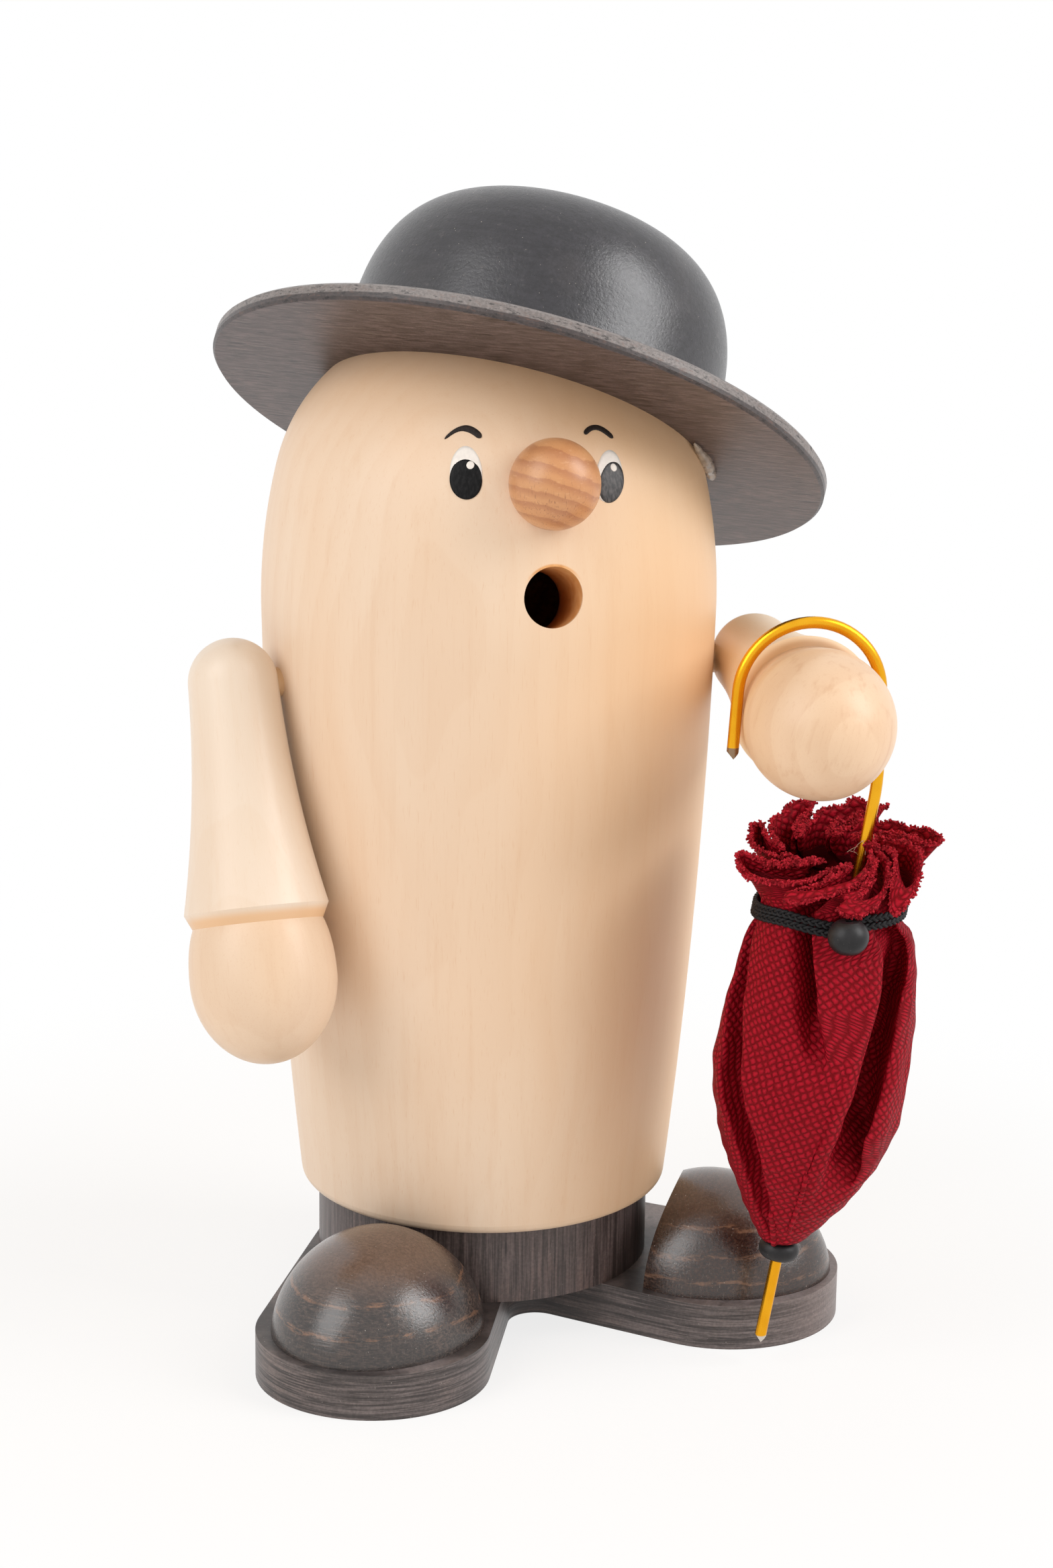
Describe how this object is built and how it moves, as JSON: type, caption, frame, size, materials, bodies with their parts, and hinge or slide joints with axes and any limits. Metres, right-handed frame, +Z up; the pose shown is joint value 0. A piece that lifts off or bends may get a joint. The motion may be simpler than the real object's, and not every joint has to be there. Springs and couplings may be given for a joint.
{
  "type": "incense smoker figure",
  "caption": "Turned wooden incense smoker: hollow barrel figure with a tilted bowler hat, round nose, smoke-hole mouth, dark shoes and a furled red umbrella hooked on one raised arm.",
  "frame": {"origin": "on the floor plane, under the turned body's axis", "axes": "+Z up along the turned body's axis, -Y the way the face looks, +X towards the figure's left arm, which carries the umbrella"},
  "size_m": [0.1214, 0.1291, 0.1966],
  "materials": {
    "stained_shoe_wood": "satin",
    "body_wood": "satin",
    "nose_wood": "satin",
    "stained_hat_wood": "satin",
    "sleeve_wood": "satin",
    "hand_wood": "satin",
    "dowel_wood": "matte",
    "screw_steel": "satin",
    "tin": "satin",
    "incense": "matte",
    "gold_wire": "gloss",
    "red_cloth": "matte",
    "black_cord": "matte",
    "black_bead": "satin"
  },
  "bodies": {
    "base": {"sole_plate": "stained_shoe_wood", "shoe_upper_right": "stained_shoe_wood", "shoe_upper_left": "stained_shoe_wood", "trouser_disc": "stained_shoe_wood", "base_screws": "screw_steel", "cone_dish": "tin", "dish_tacks": "screw_steel"},
    "figure": {"body_shell": "body_wood", "nose": "nose_wood", "hat_brim": "stained_hat_wood", "hat_crown": "stained_hat_wood", "hat_dowel": "dowel_wood", "shoulder_peg_right": "dowel_wood", "shoulder_peg_left": "dowel_wood"},
    "incense": {"incense_cone": "incense"},
    "right_arm": {"sleeve_right": "sleeve_wood", "hand_right": "hand_wood", "hand_peg_right": "dowel_wood"},
    "left_arm": {"sleeve_left": "sleeve_wood", "hand_left": "hand_wood", "hand_peg_left": "dowel_wood"},
    "umbrella": {"umbrella_rod": "gold_wire", "umbrella_canopy": "red_cloth", "umbrella_tie_cord": "black_cord", "umbrella_tie_bead": "black_bead", "umbrella_ferrule": "black_bead"}
  },
  "joints": [
    {"name": "body_lift", "type": "slide", "parent": "base", "child": "figure", "axis": [0, 0, 1], "range_m": [0, 0.06]},
    {"name": "cone_lift", "type": "slide", "parent": "base", "child": "incense", "axis": [0, 0, 1], "range_m": [0, 0.04]},
    {"name": "right_shoulder", "type": "hinge", "parent": "figure", "child": "right_arm", "pos_m": [-0.04661, -0.00722, 0.1153], "axis": [-0.9882, -0.153, 0], "range_deg": [0, 80]},
    {"name": "left_shoulder", "type": "hinge", "parent": "figure", "child": "left_arm", "pos_m": [0.04661, -0.00722, 0.1153], "axis": [-0.9882, 0.153, 0], "range_deg": [0, 25]},
    {"name": "umbrella_swing", "type": "hinge", "parent": "left_arm", "child": "umbrella", "pos_m": [0.04134, -0.04833, 0.11566], "axis": [-0.1271, -0.9919, 0.0087], "range_deg": [-8, 25]}
  ]
}
